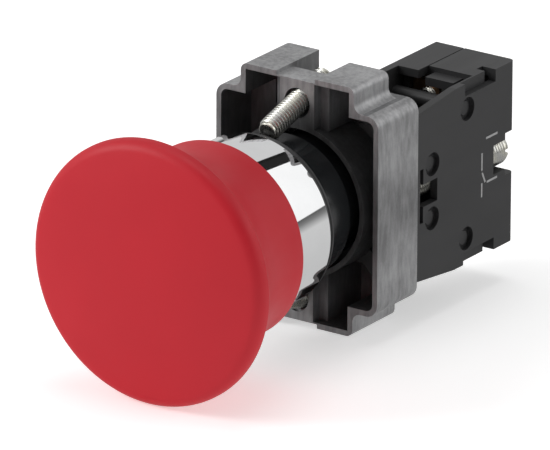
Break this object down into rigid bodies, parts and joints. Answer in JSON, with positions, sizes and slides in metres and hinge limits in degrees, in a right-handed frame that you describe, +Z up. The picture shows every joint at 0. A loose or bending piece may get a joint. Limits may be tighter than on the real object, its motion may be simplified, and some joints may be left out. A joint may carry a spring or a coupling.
{
  "type": "emergency stop button",
  "caption": "Mushroom-head push button for a round panel hole, with a chrome bezel, a screw-clamped die-cast collar and a contact block behind it.",
  "frame": {"origin": "on the axis of the panel hole, in the plane of the panel's front face, where the gasket ends", "axes": "+Y along the axis from the head to the contact block, +Z up, +X towards the contact block's side"},
  "size_m": [0.04, 0.0769, 0.04],
  "materials": {
    "red_cap": "satin moulded, fine grain",
    "turned_steel": "turned",
    "spring_steel": "drawn wire",
    "natural_plastic": "satin moulded",
    "zinc_steel": "zinc plated",
    "chrome": "polished plating",
    "black_rubber": "moulded",
    "cast_zinc": "die cast, tumbled",
    "black_plastic": "satin moulded",
    "copper": "stamped",
    "silver": "soft silver"
  },
  "bodies": {
    "housing": {"bezel_body": "chrome", "panel_gasket": "black_rubber", "stem_seal": "black_rubber", "spring_washer": "turned_steel", "return_spring": "spring_steel", "mounting_collar": "cast_zinc", "block_housing": "black_plastic", "block_cover": "black_plastic", "block_fixing_screw": "zinc_steel", "plunger_spring": "spring_steel", "fixed_contact_upper": "copper", "fixed_contact_lower": "copper", "fixed_tip_upper": "silver", "fixed_tip_lower": "silver"},
    "head": {"mushroom_cap": "red_cap", "stem": "turned_steel", "stem_circlip": "spring_steel", "pusher_plate": "natural_plastic", "pusher_screw": "zinc_steel"},
    "plunger": {"block_plunger": "natural_plastic", "contact_spring": "spring_steel"},
    "bridge": {"contact_bridge": "copper", "bridge_tips": "silver"},
    "lock_ring": {"lock_ring": "spring_steel"},
    "upper_clamp_screw": {"clamp_screw_upper": "zinc_steel"},
    "lower_clamp_screw": {"clamp_screw_lower": "zinc_steel"},
    "upper_terminal": {"terminal_screw_upper": "zinc_steel", "clamp_washer_upper": "zinc_steel"},
    "lower_terminal": {"terminal_screw_lower": "zinc_steel", "clamp_washer_lower": "zinc_steel"}
  },
  "joints": [
    {"name": "head_press", "type": "slide", "parent": "housing", "child": "head", "axis": [0, 1, 0], "range_m": [0, 0.0056], "stiffness_N_per_m": 1200, "springref_m": -0.004, "deforming": ["return_spring"]},
    {"name": "plunger_press", "type": "slide", "parent": "housing", "child": "plunger", "axis": [0, 1, 0], "range_m": [0, 0.0056], "deforming": ["plunger_spring", "contact_spring"]},
    {"name": "bridge_travel", "type": "slide", "parent": "housing", "child": "bridge", "axis": [0, 1, 0], "range_m": [0, 0.0031]},
    {"name": "lock_ring_turn", "type": "hinge", "parent": "housing", "child": "lock_ring", "pos_m": [0, 0.0152, 0], "axis": [0, 1, 0], "range_deg": [0, 15]},
    {"name": "clamp_screw_upper_drive", "type": "slide", "parent": "housing", "child": "upper_clamp_screw", "axis": [0, 0.9613, 0.2756], "range_m": [-0.0004, 0.0045]},
    {"name": "clamp_screw_lower_drive", "type": "slide", "parent": "housing", "child": "lower_clamp_screw", "axis": [0, 0.9613, -0.2756], "range_m": [-0.0004, 0.0045]},
    {"name": "terminal_screw_upper_drive", "type": "slide", "parent": "housing", "child": "upper_terminal", "axis": [0, 1, 0], "range_m": [-0.001, 0.0012]},
    {"name": "terminal_screw_lower_drive", "type": "slide", "parent": "housing", "child": "lower_terminal", "axis": [0, 1, 0], "range_m": [-0.001, 0.0012]}
  ],
  "couplings": [
    {"joint": "plunger_press", "follows": "head_press", "ratio": 1},
    {"joint": "bridge_travel", "follows": "head_press", "ratio": 0.5535}
  ]
}
